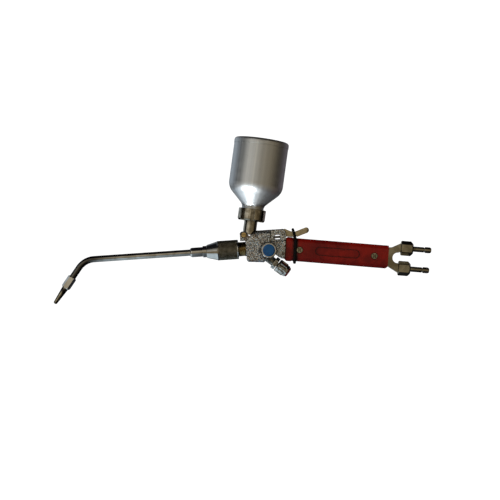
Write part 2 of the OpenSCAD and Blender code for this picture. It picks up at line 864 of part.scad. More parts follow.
module valve_needle() {
    translate([0, 0, needle_h[0] + needle_cone])
        cylinder(h = needle_h[1] - needle_h[0] - needle_cone, r = needle_r);
    translate([0, 0, needle_h[0]]) cylinder(h = needle_cone, r1 = 0.3, r2 = needle_r);
}

module valve_spindle() {
    difference() {
        translate([0, 0, spindle_h[0]]) cylinder(h = spindle_h[1] - spindle_h[0], r = spindle_r);
        translate([0, 0, spindle_h[1] - 6]) cylinder(h = clear, r = knob_screw_r);
    }
}

module valve_knob(r, cap_r) {
    difference() {
        rotate_extrude() polygon([
            [0, knob_h[0]], [r - 1.2, knob_h[0]], [r, knob_h[0] + 1.2],
            [r, knob_h[1] - 1], [r - 0.7, knob_h[1]],
            [cap_r + 0.9, knob_h[1]], [cap_r + 0.9, knob_h[1] + ring_h], [0, knob_h[1] + ring_h]
        ]);
        for (i = [0:flute_count - 1])
            rotate([0, 0, 360 / flute_count * i]) translate([r + 0.7, 0, knob_h[0] + 2.5])
                cylinder(h = knob_h[1] - knob_h[0], r = flute_r, $fn = 24);
        translate([0, 0, knob_h[0] - over]) cylinder(h = spindle_h[1] - knob_h[0] + over, r = spindle_r);
        translate([0, 0, knob_h[0]]) cylinder(h = clear, r = knob_screw_r);
        translate([0, 0, knob_h[1] - 0.5]) cylinder(h = clear, r = cap_r);
    }
}

module valve_cap(r) {
    difference() {
        rotate_extrude() polygon([
            [0, knob_h[1] - 0.5], [r, knob_h[1] - 0.5], [r, knob_h[1] + cap_h - 1.6],
            [r - 0.6, knob_h[1] + cap_h - 0.5], [r - 1.8, knob_h[1] + cap_h], [0, knob_h[1] + cap_h]
        ]);
        translate([0, 0, knob_h[1] - over]) cylinder(h = 3, r = 3);
    }
}

module valve_knob_screw() {
    translate([0, 0, spindle_h[1] - 5.5]) cylinder(h = 8, r = knob_screw_r);
    translate([0, 0, knob_h[1] - 0.5]) cylinder(h = 1.6, r = knob_screw_head_r);
}

module oxygen_bonnet() {
    color("gray") oxygen_frame() valve_bonnet(oxygen_flange_af, oxygen_flange_h);
}

module oxygen_packing_nut() {
    color("gray") oxygen_frame() valve_packing_nut();
}

module oxygen_packing() {
    color("white") oxygen_frame() valve_packing();
}

module oxygen_needle() {
    color("silver") oxygen_frame() valve_needle();
}

module oxygen_spindle() {
    color("silver") oxygen_frame() valve_spindle();
}

module oxygen_knob() {
    color("gray") oxygen_frame() valve_knob(oxygen_knob_r, oxygen_cap_r);
}

module oxygen_cap() {
    color("royalblue") oxygen_frame() valve_cap(oxygen_cap_r);
}

module oxygen_knob_screw() {
    color("silver") oxygen_frame() valve_knob_screw();
}

module fuel_bonnet() {
    color("gray") fuel_frame() valve_bonnet(0, 0);
}

module fuel_packing_nut() {
    color("gray") fuel_frame() valve_packing_nut();
}

module fuel_packing() {
    color("white") fuel_frame() valve_packing();
}

module fuel_needle() {
    color("silver") fuel_frame() valve_needle();
}

module fuel_spindle() {
    color("silver") fuel_frame() valve_spindle();
}

module fuel_knob() {
    color("gray") fuel_frame() valve_knob(fuel_knob_r, fuel_cap_r);
}

module fuel_cap() {
    color("firebrick") fuel_frame() valve_cap(fuel_cap_r);
}

module fuel_knob_screw() {
    color("silver") fuel_frame() valve_knob_screw();
}

// ---- Handle ----

module handle_solid() {
    w = handle_w / 2;
    h = handle_h / 2;
    difference() {
        union() {
            section_bar([handle_x0 + 1, handle_x1], [-w, -h], [w, h], handle_corner);
            section_bar([handle_x0, handle_x0 + lip_l], [-w, -h - lip_h], [w, h + lip_h], handle_corner);
        }
        // cavity for the pipes, the gun's shank and the fork's root
        section_bar([handle_x0 - over, handle_x1 + over], shank_lo, -shank_lo, shank_corner);
        // chamfers on three corners
        for (c = [[handle_x1, -h, 3.2], [handle_x0, -h - lip_h, 3], [handle_x0, h + lip_h, 2]])
            translate([c[0], 0, c[1]]) rotate([0, 45, 0]) cube([c[2], clear, c[2]], center = true);
    }
}

// Screw axis, with z running from the left shell's face into the handle
module at_screws() {
    for (x = screw_x)
        translate([x, -handle_w / 2, 0]) rotate([-90, 0, 0]) children();
}

module handle_bosses() {
    intersection() {
        at_screws() cylinder(h = handle_w, r = boss_r);
        translate([handle_x0, -handle_w / 2 + 1, -clear / 2]) cube([handle_l, handle_w - 2, clear]);
    }
}

module panel_recess() {
    r = (panel_z[1] - panel_z[0]) / 2;
    translate([0, -handle_w / 2 + panel_depth, 0]) rotate([90, 0, 0]) linear_extrude(5)
        polygon(rounded([panel_x[0], panel_z[0]], [panel_x[1], panel_z[1]], r - 0.01));
}

module handle_left() {
    color("firebrick") difference() {
        intersection() {
            union() {
                handle_solid();
                handle_bosses();
            }
            translate([handle_x0, -clear, -clear / 2]) cube([handle_l, clear, clear]);
        }
        at_screws() translate([0, 0, -over]) cylinder(h = head_h + over, r = screw_head_r);
        at_screws() cylinder(h = handle_w, r = screw_r);
        panel_recess();
    }
}

module handle_right() {
    color("firebrick") difference() {
        intersection() {
            union() {
                handle_solid();
                handle_bosses();
            }
            translate([handle_x0, 0, -clear / 2]) cube([handle_l, clear, clear]);
        }
        at_screws() cylinder(h = handle_w - 2, r = screw_r);
        at_screws() translate([0, 0, handle_w / 2]) cylinder(h = insert_l, r = insert_r);
        mirror([0, 1, 0]) panel_recess();
    }
}

module handle_screws() {
    color("goldenrod") difference() {
        at_screws() {
            translate([0, 0, -head_dome])
                cylinder(h = head_h + head_dome, r1 = screw_head_r - head_edge, r2 = screw_head_r);
            cylinder(h = handle_w / 2 + 5, r = screw_r);
        }
        // cross slot, widened to a cone in the middle
        at_screws() for (a = [45, 135])
            rotate([0, 0, a]) translate([-cross_l / 2, -cross_w / 2, cross_depth - head_dome - clear])
                cube([cross_l, cross_w, clear]);
        at_screws() translate([0, 0, -head_dome - tight])
            cylinder(h = cross_depth, r1 = cross_r[0], r2 = cross_r[1]);
    }
}

module screw_inserts() {
    color("goldenrod") at_screws() ring([handle_w / 2, handle_w / 2 + insert_l], insert_r, screw_r);
}

module gas_pipe(z) {
    difference() {
        x_rod(pipe_x, pipe_r, z);
        x_rod([pipe_x[0] - over, pipe_x[1] + over], pipe_bore_r, z);
    }
}

module oxygen_pipe() {
    color("peru") gas_pipe(pipe_z);
}

module fuel_pipe() {
    color("peru") gas_pipe(-pipe_z);
}

// ---- Hose inlets ----

module inlet_fork() {
    color("gray") difference() {
        union() {
            section_bar([fork_x0, handle_x1], shank_lo, -shank_lo, shank_corner);
            side_plate([
                [handle_x1, -11], [handle_x1 + 1, -11.5], [inlet_x[1] - 0.4, -inlet_z - fork_arm],
                [inlet_x[1] - 0.4, -inlet_z + fork_arm - 1], [fork_gap_x + 1, -fork_gap_r - 0.6],
                [fork_gap_x + 1, fork_gap_r + 0.6], [inlet_x[0] - 0.4, inlet_z - fork_arm + 1],
                [inlet_x[0] - 0.4, inlet_z + fork_arm], [handle_x1 + 5, 12.8], [handle_x1, 12.3]
            ], fork_w);
            for (i = [0, 1])
                x_rod([inlet_x[i] - 1, inlet_x[i] + fork_end_l], fork_end_r, i == 0 ? inlet_z : -inlet_z);
        }
        // gap between the arms
        translate([fork_gap_x, clear / 2, 0]) rotate([90, 0, 0]) cylinder(h = clear, r = fork_gap_r);
        translate([fork_gap_x, -clear / 2, -fork_gap_r]) cube([clear, clear, 2 * fork_gap_r]);
        for (s = [-1, 1]) {
            x_rod([fork_x0 - over, pipe_x[1]], pipe_r, s * pipe_z);
            x_rod([fork_x0, fork_plate_x - 4], pipe_bore_r, s * pipe_z);
            x_rod([fork_gap_x - 3, fork_gap_x + clear], pipe_bore_r, s * inlet_z);
            // slanted drilling that joins the pipe's socket to the inlet
            translate([slant_x, 0, s * pipe_z]) rotate([0, 90 - s * slant_angle, 0])
                cylinder(h = slant_l, r = pipe_bore_r);
        }
    }
}

module hose_nut(x, z) {
    color("gray") difference() {
        translate([x, 0, z]) rotate([0, 90, 0]) intersection() {
            hex_bar([0, hose_nut_l], hose_nut_af);
            union() {
                cylinder(h = 1, r1 = hose_nut_r - 1.1, r2 = hose_nut_r);
                translate([0, 0, 1]) cylinder(h = hose_nut_l - hose_nut_cone - 1, r = hose_nut_r);
                translate([0, 0, hose_nut_l - hose_nut_cone])
                    cylinder(h = hose_nut_cone, r1 = hose_nut_r, r2 = hose_nut_r - hose_nut_cone);
            }
        }
        x_rod([x - over, x + fork_end_l + tail_flange_h], fork_end_r + tight, z);
        x_rod([x, x + clear], tail_r + fit, z);
    }
}

module oxygen_hose_nut() {
    hose_nut(inlet_x[0], inlet_z);
}

module fuel_hose_nut() {
    hose_nut(inlet_x[1], -inlet_z);
}

module hose_tail(x, x_end, z) {
    groove_x = x_end - bulb_l;
    color("darkkhaki") difference() {
        union() {
            x_rod([x + fork_end_l + 0.1, x + fork_end_l + tail_flange_h - 0.1], tail_flange_r, z);
            x_rod([x + fork_end_l + 0.1, groove_x - groove_l], tail_r, z);
            x_rod([groove_x - groove_l, groove_x], groove_r, z);
            x_rod([groove_x, x_end - tail_tip_l], bulb_r, z);
            translate([x_end - tail_tip_l, 0, z]) rotate([0, 90, 0])
                cylinder(h = tail_tip_l, r1 = bulb_r, r2 = bulb_r - 1);
        }
        x_rod([x, x_end + over], tail_bore_r, z);
    }
}

module oxygen_hose_tail() {
    hose_tail(inlet_x[0], tail_x1[0], inlet_z);
}

module fuel_hose_tail() {
    hose_tail(inlet_x[1], tail_x1[1], -inlet_z);
}

gun_body();
front_spigot();
union_nut();
union_washer();
injector();
spray_tube();
tube_ferrule();
tube_collar();
tip_nut();
spray_tip();
hopper_neck();
neck_set_screw();
hopper_gasket();
hopper_nut();
hopper_cup();
hopper_lid();
lid_seal();
powder_valve_seat();
powder_valve_rod();
powder_valve_seal();
rod_packing();
rod_gland();
rod_spring();
powder_lever();
lever_pivot_pin();
lever_link_pin();
retaining_ring();
oxygen_bonnet();
oxygen_packing_nut();
oxygen_packing();
oxygen_needle();
oxygen_spindle();
oxygen_knob();
oxygen_cap();
oxygen_knob_screw();
fuel_bonnet();
fuel_packing_nut();
fuel_packing();
fuel_needle();
fuel_spindle();
fuel_knob();
fuel_cap();
fuel_knob_screw();
handle_left();
handle_right();
handle_screws();
screw_inserts();
oxygen_pipe();
fuel_pipe();
inlet_fork();
oxygen_hose_nut();
fuel_hose_nut();
oxygen_hose_tail();
fuel_hose_tail();
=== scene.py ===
"""Looks of a hand torch that sprays metal powder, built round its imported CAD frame. Metres throughout."""
import json
import math

import bmesh
import bpy
from mathutils import Matrix, Vector, noise

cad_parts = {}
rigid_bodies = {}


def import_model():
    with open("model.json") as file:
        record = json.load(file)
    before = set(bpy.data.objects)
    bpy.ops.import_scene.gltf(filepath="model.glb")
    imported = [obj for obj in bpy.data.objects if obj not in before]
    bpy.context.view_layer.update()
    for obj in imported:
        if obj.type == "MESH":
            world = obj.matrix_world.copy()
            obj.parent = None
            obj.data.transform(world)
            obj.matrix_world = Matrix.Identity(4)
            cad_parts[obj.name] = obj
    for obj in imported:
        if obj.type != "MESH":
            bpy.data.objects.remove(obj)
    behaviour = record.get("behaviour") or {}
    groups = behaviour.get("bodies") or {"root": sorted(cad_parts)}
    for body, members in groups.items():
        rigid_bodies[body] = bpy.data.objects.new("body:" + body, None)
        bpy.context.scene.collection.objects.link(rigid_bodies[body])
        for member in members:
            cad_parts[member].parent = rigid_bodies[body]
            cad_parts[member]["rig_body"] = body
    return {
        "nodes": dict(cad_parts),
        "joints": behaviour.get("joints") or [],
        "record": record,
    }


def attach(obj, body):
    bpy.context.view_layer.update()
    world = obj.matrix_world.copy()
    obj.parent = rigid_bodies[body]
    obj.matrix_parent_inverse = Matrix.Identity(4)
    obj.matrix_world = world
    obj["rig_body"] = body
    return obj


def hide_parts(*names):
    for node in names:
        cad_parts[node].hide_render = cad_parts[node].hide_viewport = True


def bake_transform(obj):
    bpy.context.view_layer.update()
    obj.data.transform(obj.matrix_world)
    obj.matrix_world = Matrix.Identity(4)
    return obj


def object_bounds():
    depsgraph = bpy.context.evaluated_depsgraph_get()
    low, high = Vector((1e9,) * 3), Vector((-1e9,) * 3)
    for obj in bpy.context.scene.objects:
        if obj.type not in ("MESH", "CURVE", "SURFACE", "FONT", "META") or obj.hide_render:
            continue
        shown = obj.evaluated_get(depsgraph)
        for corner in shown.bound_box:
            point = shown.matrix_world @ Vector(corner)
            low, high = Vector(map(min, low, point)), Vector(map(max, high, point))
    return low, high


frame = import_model()
CAD_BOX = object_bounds()

MM = 0.001
NODE_SLOT = {part["node"]: part["material_slot"] for part in frame["record"]["subparts"]}
JOINT = {joint["name"]: joint for joint in frame["joints"]}
WELD = 1e-6

# ---- Places that the CAD model fixes ----

# Distance along the spray axis, from the gun's centre, of the point that the tube's swivel is given at
SWIVEL_U = -60 * MM
# Height above the handle axis, along the hopper axis, of the point that the hopper nut's turn is given at
NUT_H = 38 * MM
# Spray tube: back end, bend and front end on the front leg
TUBE_R = 4 * MM
TUBE_BORE_R = 2.75 * MM
TUBE_BACK_U = -64 * MM
BEND_U = -229.3 * MM
BEND_R = 25 * MM
BEND_ANGLE = math.radians(52)
TUBE_FRONT_S = 34 * MM
# Union nut
NUT_R = 12.25 * MM
NUT_U = (-62.7 * MM, -36.3 * MM)
NUT_CONE_U = -76 * MM
NUT_CONE_R = 8.2 * MM
NUT_THREAD_R = 9 * MM
NUT_SHELF_U = -60.5 * MM
NUT_NECK_R = 7.25 * MM
NUT_BAND = 1.4 * MM
NUT_POLISHED_BAND = 1.3 * MM
KNURL_PITCH = 1.15 * MM
KNURL_DEPTH = 0.42 * MM
# Gas valve bonnet
BONNET_R = 5.6 * MM
BONNET_H = (-5.5 * MM, 11.6 * MM)
SPINDLE_BORE_R = 2.55 * MM
PACKING_R = 4 * MM
PACKING_H = 4 * MM
THREAD_H = (0.4 * MM, 9.4 * MM)
BONNET_PITCH = 1.25 * MM
BONNET_THREAD_DEPTH = 0.6 * MM
# Front spigot: its ends, the thread's ends, and the radii of its back end, thread and root
SPIGOT_U = (-50 * MM, -14 * MM)
SPIGOT_STEP_U = (-36.1 * MM, -27 * MM)
SPIGOT_R = (9 * MM, 9.2 * MM, 6 * MM)
SPIGOT_BORE_R = (4 * MM, 2.2 * MM)
SPIGOT_BORE_STEP_U = -30 * MM
SPIGOT_PITCH = 1.5 * MM
SPIGOT_THREAD_DEPTH = 0.65 * MM
# Rubber ring, in mm: the radius of its cord, and how far its sides, lowest run and crown stand
# from the handle axis
RING_R = 1.6
RING_SIDE = 12.2
RING_BASE = 16.1
RING_CROWN = 25
RING_CORNER = 4.5
# Where the ring leans: its place along the handle at the height of its bend, and its slope above and below
RING_BEND_X = -54
RING_BEND_Z = 13
RING_LEAN = (0.34, 0.045)


def frame_along(axis, point):
    """Matrix whose z runs along axis from point, and whose y is the torch's Y unless axis runs that way."""
    z = Vector(axis).normalized()
    y = Vector((0, 1, 0)) if abs(z.y) < 0.5 else Vector((0, 0, 1))
    x = y.cross(z).normalized()
    y = z.cross(x)
    turned = Matrix((x, y, z)).transposed().to_4x4()
    return Matrix.Translation(Vector(point)) @ turned


def joint_frame(name, offset=0.0, flip=False):
    """Frame on a joint's axis whose z = 0 lies offset back along it."""
    joint = JOINT[name]
    axis = Vector(joint["axis"]) * (-1 if flip else 1)
    return frame_along(axis, Vector(joint["pos_m"]) - axis * offset)


SPRAY = joint_frame("spray_tube_swivel", SWIVEL_U)
HOPPER = joint_frame("hopper_nut_turn", NUT_H, flip=True)
FUEL = joint_frame("fuel_knob_turn")

# ---- Node graphs ----


class Graph:
    """Short calls that build one node tree."""

    def __init__(self, tree):
        self.tree = tree
        tree.nodes.clear()

    def feed(self, socket, value):
        if isinstance(value, bpy.types.NodeSocket):
            self.tree.links.new(value, socket)
        elif hasattr(value, "__len__") and len(value) == 3 and len(socket.default_value) == 4:
            socket.default_value = (*value, 1)
        else:
            socket.default_value = value

    def node(self, kind, inputs=None, **settings):
        made = self.tree.nodes.new("ShaderNode" + kind)
        for key, value in settings.items():
            setattr(made, key, value)
        for key, value in (inputs or {}).items():
            self.feed(made.inputs[key], value)
        return made

    def place(self):
        return self.node("TexCoord").outputs["Object"]

    def noise(self, scale, detail=3, rough=0.55, vector=None, distortion=0.0):
        inputs = {"Vector": vector or self.place(), "Scale": scale, "Detail": detail,
                  "Roughness": rough, "Distortion": distortion}
        return self.node("TexNoise", inputs).outputs[0]

    def noise_1d(self, w, scale, detail):
        inputs = {"W": w, "Scale": scale, "Detail": detail}
        return self.node("TexNoise", inputs, noise_dimensions="1D").outputs[0]

    def cells(self, scale):
        return self.node("TexVoronoi", {"Vector": self.place(), "Scale": scale}).outputs[0]

    def math(self, operation, a, b):
        return self.node("Math", {0: a, 1: b}, operation=operation).outputs[0]

    def remap(self, value, low, high, to_low, to_high):
        inputs = {"Value": value, "From Min": low, "From Max": high, "To Min": to_low, "To Max": to_high}
        return self.node("MapRange", inputs).outputs[0]

    def vector(self, operation, a, b):
        made = self.node("VectorMath", {0: a, 1: b}, operation=operation)
        return made.outputs["Value" if operation == "DOT_PRODUCT" else "Vector"]

    def mix(self, share, a, b):
        made = self.node("Mix", data_type="RGBA")
        self.feed(made.inputs[0], share)
        self.feed(made.inputs[6], a)
        self.feed(made.inputs[7], b)
        return made.outputs[2]

    def ramp(self, share, stops):
        made = self.node("ValToRGB", {"Fac": share})
        elements = made.color_ramp.elements
        while len(elements) < len(stops):
            elements.new(0.5)
        for element, (position, colour) in zip(elements, stops):
            element.position = position
            element.color = (*colour, 1)
        return made.outputs["Color"]

    def bump(self, height, distance, strength=1.0, normal=None):
        inputs = {"Height": height, "Distance": distance, "Strength": strength}
        if normal is not None:
            inputs["Normal"] = normal
        return self.node("Bump", inputs).outputs[0]

    def crevice(self, reach):
        """1 in the open, falling towards 0 in a corner or a gap narrower than reach."""
        return self.node("AmbientOcclusion", {"Distance": reach}, samples=8).outputs["AO"]

    def surface(self, colour, roughness, normal=None, **constants):
        inputs = {"Base Color": colour, "Roughness": roughness}
        if normal is not None:
            inputs["Normal"] = normal
        shader = self.node("BsdfPrincipled", inputs)
        for key, value in constants.items():
            shader.inputs[key.replace("_", " ").title().replace("Ior", "IOR")].default_value = value
        self.node("OutputMaterial", {"Surface": shader.outputs[0]})


def new_material(name):
    made = bpy.data.materials.new(name)
    made.use_nodes = True
    return made, Graph(made.node_tree)


# ---- Materials ----

SOOT = (0.02, 0.018, 0.016)
# Old oil and painted shade in the casting's corners
OLD_OIL_AND_SHADE = (0.012, 0.010, 0.008)
# Painted reflections of the blue window and the brown room in the casting's grains
BLUE_REFLECTION_GRAIN = (0.52, 0.66, 0.82)
BROWN_REFLECTION_GRAIN = (0.50, 0.36, 0.26)
# Distances from the torch's front end at which the tube's soot thins out and ends
SOOT_REACH = (0.045, 0.085)


def polished(name, bright, dull, rough, grain=0.006 * MM, grime_and_shade=(0.05, 0.035, 0.02), heat=None,
             reach=2.5 * MM, patch=90, soot=None):
    """Plated or bare turned metal: cloudy tarnish, fine scratches, and grime with painted shade in its
    corners and gaps.

    heat is the colour of burnt patches, and soot the two places along X where it is full and has ended.
    """
    made, g = new_material(name)
    cloud = g.noise(patch, 4, 0.6, distortion=0.4)
    fine = g.noise(1400, 3, 0.6)
    scratch = g.noise(260, 2, 0.5, vector=g.vector("MULTIPLY", g.place(), (1, 9, 4)))
    colour = g.mix(g.remap(cloud, 0.35, 0.65, 0, 1), bright, dull)
    if heat is not None:
        colour = g.mix(g.remap(g.noise(140, 2), 0.4, 0.62, 0, 1), colour, heat)
    if soot is not None:
        along = g.node("SeparateXYZ", {0: g.place()}).outputs[0]
        colour = g.mix(g.remap(along, soot[0], soot[1], 0.85, 0), colour, SOOT)
    # Painted shade: corners and gaps take the dark crevice colour by how closed in they are, partly grime
    # and partly the shade that falls there
    colour = g.mix(g.remap(g.crevice(reach), 0.15, 0.75, 0, 1), grime_and_shade, colour)
    worn = g.math("ADD", g.math("MULTIPLY", cloud, 0.6), g.math("MULTIPLY", scratch, 0.4))
    roughness = g.remap(worn, 0.3, 0.7, rough[0], rough[1])
    normal = g.bump(g.math("ADD", fine, scratch), grain, 0.6)
    g.surface(colour, roughness, normal, metallic=1.0)
    return made


def cast_skin(name, bright, dull, stain):
    """Chrome over a coarse sand casting: painted glints and painted reflections turn its grains near white,
    near black, blue and brown, and its corners hold old oil and painted shade.
    """
    made, g = new_material(name)
    coarse = g.noise(460, 4, 0.6, distortion=0.5)
    grains = g.noise(780, 3, 0.65)
    pits = g.cells(650)
    cloud = g.noise(50, 3, 0.5)
    reflection_mask = g.noise(900, 1, 0.5)
    # Painted glints and painted dark reflections: grains switch between the bright and the dull colour
    colour = g.mix(g.remap(grains, 0.46, 0.56, 0, 1), dull, bright)
    # Painted reflections: some grains take the blue of the window and others the brown of the room
    colour = g.mix(g.remap(reflection_mask, 0.56, 0.62, 0, 0.8), colour, BLUE_REFLECTION_GRAIN)
    colour = g.mix(g.remap(reflection_mask, 0.38, 0.44, 0.6, 0), colour, BROWN_REFLECTION_GRAIN)
    colour = g.mix(g.remap(cloud, 0.54, 0.66, 0, 0.8), colour, stain)
    # Painted shade: the casting's corners darken by how closed in they are, with old oil there too
    colour = g.mix(g.remap(g.crevice(3 * MM), 0.25, 0.85, 0, 1), OLD_OIL_AND_SHADE, colour)
    roughness = g.remap(grains, 0.3, 0.7, 0.34, 0.16)
    normal = g.bump(coarse, 0.9 * MM, 1.0)
    normal = g.bump(pits, 0.15 * MM, 0.6, normal)
    g.surface(colour, roughness, normal, metallic=1.0)
    return made


def spun_aluminium(name):
    """Satin spun aluminium: rings round the hopper axis and faint streaks along it."""
    made, g = new_material(name)
    axis = HOPPER.to_3x3().col[2]
    base = g.vector("SUBTRACT", g.place(), tuple(HOPPER.translation))
    height = g.vector("DOT_PRODUCT", base, tuple(axis))
    drop = g.node("VectorMath", {0: tuple(axis), "Scale": height}, operation="SCALE").outputs[0]
    around = g.node("VectorMath", {0: g.vector("SUBTRACT", base, drop)}, operation="NORMALIZE").outputs[0]
    rings = g.noise_1d(height, 2600, 3)
    bands = g.noise_1d(height, 160, 2)
    streaks = g.noise(9, 5, 0.65, vector=around)
    spots = g.noise(240, 4, 0.7)
    colour = g.mix(g.remap(streaks, 0.35, 0.65, 0, 1), (0.52, 0.53, 0.54), (0.66, 0.66, 0.65))
    colour = g.mix(g.remap(spots, 0.6, 0.75, 0, 0.35), colour, (0.42, 0.40, 0.37))
    worn = g.math("ADD", g.math("MULTIPLY", streaks, 0.6), g.math("MULTIPLY", bands, 0.4))
    roughness = g.remap(worn, 0.3, 0.7, 0.40, 0.50)
    normal = g.bump(rings, 0.012 * MM, 0.7)
    normal = g.bump(spots, 0.02 * MM, 0.4, normal)
    g.surface(colour, roughness, normal, metallic=1.0)
    return made


def moulded(name, base, pale, deep, rough, gloss=0.5, dirt_and_shade=None, reach=2 * MM, shut=(0.25, 0.85)):
    """Moulded plastic: orange-peel skin, scuffs that turn it pale, and dirt with painted shade in its
    corners and recesses.

    shut gives how open a place is where the dirt and painted shade are full and where they end.
    """
    made, g = new_material(name)
    cloud = g.noise(45, 4, 0.6, distortion=0.5)
    scuff = g.noise(320, 3, 0.6, vector=g.vector("MULTIPLY", g.place(), (0.35, 1, 1.6)))
    peel = g.noise(900, 2, 0.5)
    colour = g.mix(g.remap(cloud, 0.38, 0.62, 0, 1), deep, base)
    colour = g.mix(g.remap(scuff, 0.6, 0.8, 0, 0.45), colour, pale)
    # Painted shade: corners and recesses take the dark crevice colour by how closed in they are, partly dirt
    # and partly the shade that falls there
    colour = g.mix(g.remap(g.crevice(reach), shut[0], shut[1], 0, 1), dirt_and_shade or deep, colour)
    roughness = g.remap(scuff, 0.3, 0.75, rough[0], rough[1])
    normal = g.bump(peel, 0.05 * MM, 0.6)
    normal = g.bump(scuff, 0.03 * MM, 0.5, normal)
    g.surface(colour, roughness, normal, specular_ior_level=gloss)
    return made


# Metal finishes: bright and dull colour, range of roughness, and what differs from polished's own values
METALS = {
    "chrome": ((0.66, 0.64, 0.60), (0.50, 0.47, 0.42), (0.05, 0.16), {}),
    "lever_chrome": ((0.66, 0.57, 0.40), (0.50, 0.43, 0.29), (0.22, 0.42), {"grain": 0.05 * MM}),
    "brass": ((0.78, 0.58, 0.26), (0.55, 0.38, 0.16), (0.16, 0.36), {}),
    "steel": ((0.56, 0.56, 0.56), (0.42, 0.41, 0.40), (0.20, 0.36), {}),
    "copper_pipe": ((0.80, 0.42, 0.27), (0.50, 0.24, 0.14), (0.20, 0.40), {}),
    "knurl_chrome": ((0.30, 0.27, 0.21), (0.10, 0.09, 0.06), (0.30, 0.46), {}),
    # Hopper nut and neck: near-black crevice colour over a 12 mm reach is painted shadow in the gaps between
    # the lobes
    "lobed_chrome": ((0.56, 0.52, 0.44), (0.20, 0.17, 0.12), (0.10, 0.22),
                     {"grime_and_shade": (0.004, 0.003, 0.003), "reach": 12 * MM, "patch": 140}),
    # Oxygen bonnet: chrome painted near black, a painted dark reflection in place of the dark room it
    # mirrors
    "chrome_painted_dark": ((0.16, 0.16, 0.17), (0.05, 0.05, 0.055), (0.06, 0.18), {"grime_and_shade": (0.004, 0.004, 0.004)}),
    "tip_chrome": ((0.40, 0.36, 0.26), (0.09, 0.08, 0.06), (0.04, 0.12), {"heat": (0.03, 0.025, 0.022)}),
    "sooty_chrome": ((0.70, 0.68, 0.62), (0.10, 0.09, 0.075), (0.05, 0.18),
                     {"grime_and_shade": (0.008, 0.007, 0.006), "patch": 260}),
    "dull_chrome": ((0.46, 0.42, 0.32), (0.24, 0.21, 0.14), (0.12, 0.30), {"grime_and_shade": (0.015, 0.012, 0.008)}),
    # Oxygen knob: chrome painted brighter than chrome, a painted highlight that makes its rim read lit
    # against the dark bonnet
    "chrome_painted_bright": ((0.92, 0.92, 0.90), (0.80, 0.80, 0.78), (0.06, 0.16), {"grime_and_shade": (0.01, 0.01, 0.01)}),
    "dirty_brass": ((0.55, 0.40, 0.16), (0.07, 0.05, 0.03), (0.16, 0.36), {"grime_and_shade": (0.008, 0.006, 0.004)}),
    "tube_chrome": ((0.66, 0.64, 0.60), (0.40, 0.37, 0.31), (0.05, 0.16),
                    {"soot": [CAD_BOX[0][0] + reach for reach in SOOT_REACH]}),
    # Handle screws: near-black crevice colour over a 4 mm reach is painted shade in the screws' crosses
    "zinc": ((0.62, 0.57, 0.42), (0.26, 0.23, 0.16), (0.20, 0.36),
             {"grime_and_shade": (0.004, 0.003, 0.003), "reach": 4 * MM, "patch": 120}),
}
# Casting: its bright grains, which are painted glints, its dull grains, which are painted dark reflections,
# and its brown stain
CASTING = ((0.95, 0.97, 0.98), (0.016, 0.016, 0.014), (0.15, 0.09, 0.035))
# Moulded finishes: base, scuffed and deep colour, range of roughness, and what differs from moulded's own
PLASTICS = {
    # Red handle: near-black crevice colour over a wide shut range is painted shade round its recessed panel
    "red_plastic": ((0.27, 0.007, 0.003), (0.28, 0.05, 0.03), (0.14, 0.003, 0.002), (0.36, 0.58),
                    {"gloss": 0.3, "dirt_and_shade": (0.02, 0.001, 0.001), "reach": 4 * MM, "shut": (0.66, 0.97)}),
    "black_rubber": ((0.004, 0.004, 0.005), (0.02, 0.019, 0.018), (0.002, 0.002, 0.002), (0.5, 0.75),
                     {"gloss": 0.2}),
    "fibre": ((0.42, 0.15, 0.08), (0.55, 0.30, 0.20), (0.25, 0.08, 0.04), (0.7, 0.9), {}),
    "ptfe": ((0.82, 0.82, 0.80), (0.90, 0.90, 0.89), (0.62, 0.61, 0.57), (0.35, 0.5), {}),
    "blue_plastic": ((0.0, 0.10, 0.30), (0.04, 0.20, 0.42), (0.0, 0.04, 0.15), (0.28, 0.5), {}),
    "red_cap": ((0.20, 0.006, 0.005), (0.26, 0.05, 0.04), (0.10, 0.004, 0.003), (0.25, 0.45), {}),
}


def make_materials():
    made = {
        "cast_chrome": cast_skin("cast_chrome", *CASTING),
        "cup_aluminium": spun_aluminium("cup_aluminium"),
    }
    for name, (bright, dull, rough, rest) in METALS.items():
        made[name] = polished(name, bright, dull, rough, **rest)
    for name, (base, pale, deep, rough, rest) in PLASTICS.items():
        made[name] = moulded(name, base, pale, deep, rough, **rest)
    return made


MATERIALS = make_materials()
# Pieces whose finish differs a little from the rest of their slot
SPECIAL_FINISH = {
    "union_nut": "knurl_chrome", "spray_tube": "tube_chrome", "spray_tip": "tip_chrome",
    "front_spigot": "dirty_brass",
    "fuel_bonnet": "sooty_chrome", "fuel_packing_nut": "sooty_chrome", "fuel_knob": "sooty_chrome",
    # The oxygen knob and bonnet take lit and shaded copies of chrome: a painted highlight and a painted dark
    # reflection
    "oxygen_knob": "chrome_painted_bright", "oxygen_bonnet": "chrome_painted_dark", "handle_screws": "zinc",
    "hopper_nut": "lobed_chrome", "hopper_neck": "lobed_chrome",
    "inlet_fork": "dull_chrome", "oxygen_hose_nut": "dull_chrome", "fuel_hose_nut": "dull_chrome",
    "oxygen_hose_tail": "dull_chrome", "fuel_hose_tail": "dull_chrome",
}

# ---- Meshes ----

# Faces that turn less than the first are one flat face, and edges that turn more than the second are broken
FLAT_ANGLE = math.radians(0.8)
CORNER_ANGLE = math.radians(28)


def mesh_object(name, mesh):
    made = bpy.data.objects.new(name, mesh)
    bpy.context.scene.collection.objects.link(made)
    return made


